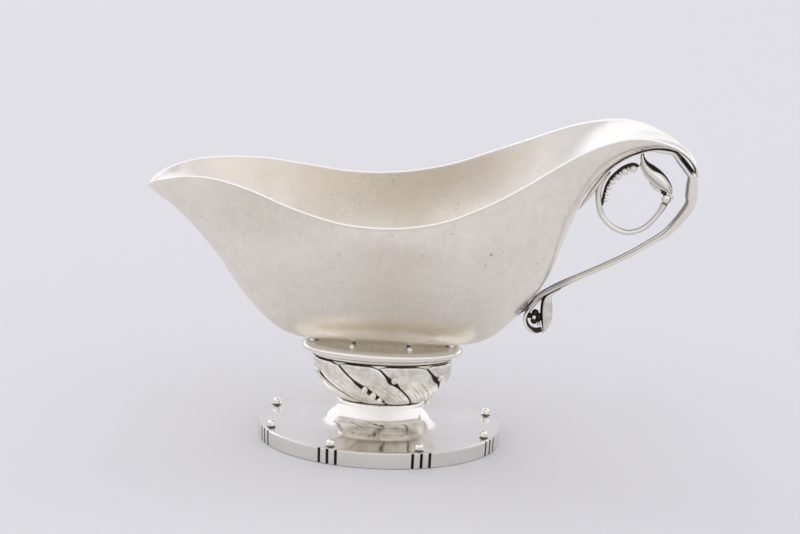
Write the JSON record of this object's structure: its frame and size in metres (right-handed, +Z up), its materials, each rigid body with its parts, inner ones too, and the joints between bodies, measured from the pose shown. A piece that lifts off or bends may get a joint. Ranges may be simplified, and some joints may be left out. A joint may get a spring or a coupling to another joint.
{
  "type": "pedestal sauce boat",
  "caption": "Silver pedestal sauce boat: boat-shaped bowl with a long spout, scroll handle with ring tendril, leafed knop and an oval foot with beads.",
  "frame": {"origin": "centre of the bounding box in plan, on the table plane under the foot", "axes": "+X from spout to handle, +Z up"},
  "size_m": [0.2062, 0.0888, 0.1255],
  "materials": {
    "hammered_silver": "satin, lightly hammered",
    "polished_silver": "polished",
    "leaf_silver": "satin, chased",
    "handle_silver": "polished",
    "oxidised_silver": "oxidised, matt"
  },
  "bodies": {
    "root": {"bowl": "hammered_silver", "collar": "polished_silver", "collar_bead_1": "polished_silver", "collar_bead_2": "polished_silver", "collar_bead_3": "polished_silver", "collar_bead_4": "polished_silver", "collar_bead_5": "polished_silver", "collar_bead_6": "polished_silver", "collar_bead_7": "polished_silver", "collar_bead_8": "polished_silver", "foot_bead_1": "polished_silver", "foot_bead_2": "polished_silver", "foot_bead_3": "polished_silver", "foot_bead_4": "polished_silver", "foot_bead_5": "polished_silver", "foot_bead_6": "polished_silver", "foot_bead_7": "polished_silver", "foot_bead_8": "polished_silver", "foot_plate": "polished_silver", "foot_rim_band": "polished_silver", "handle_strap": "handle_silver", "knop_berry_1": "leaf_silver", "knop_berry_2": "leaf_silver", "knop_berry_3": "leaf_silver", "knop_berry_4": "leaf_silver", "knop_berry_5": "leaf_silver", "knop_berry_6": "leaf_silver", "knop_berry_7": "leaf_silver", "knop_berry_8": "leaf_silver", "knop_core": "oxidised_silver", "knop_leaf_1": "leaf_silver", "knop_leaf_2": "leaf_silver", "knop_leaf_3": "leaf_silver", "knop_leaf_4": "leaf_silver", "knop_leaf_5": "leaf_silver", "knop_leaf_6": "leaf_silver", "knop_leaf_7": "leaf_silver", "knop_leaf_8": "leaf_silver", "neck": "polished_silver", "solder_tab": "handle_silver", "tendril_ball": "handle_silver", "tendril_bead_1": "handle_silver", "tendril_bead_2": "handle_silver", "tendril_bead_3": "handle_silver", "tendril_bead_4": "handle_silver", "tendril_bead_5": "handle_silver", "tendril_bead_6": "handle_silver", "tendril_bead_7": "handle_silver", "tendril_bead_bar": "oxidised_silver", "tendril_calyx": "handle_silver", "tendril_leaf": "handle_silver", "tendril_ring": "handle_silver", "volute_bead": "handle_silver", "volute_berries": "oxidised_silver", "volute_leaf": "handle_silver", "volute_scroll": "handle_silver"}
  },
  "joints": []
}
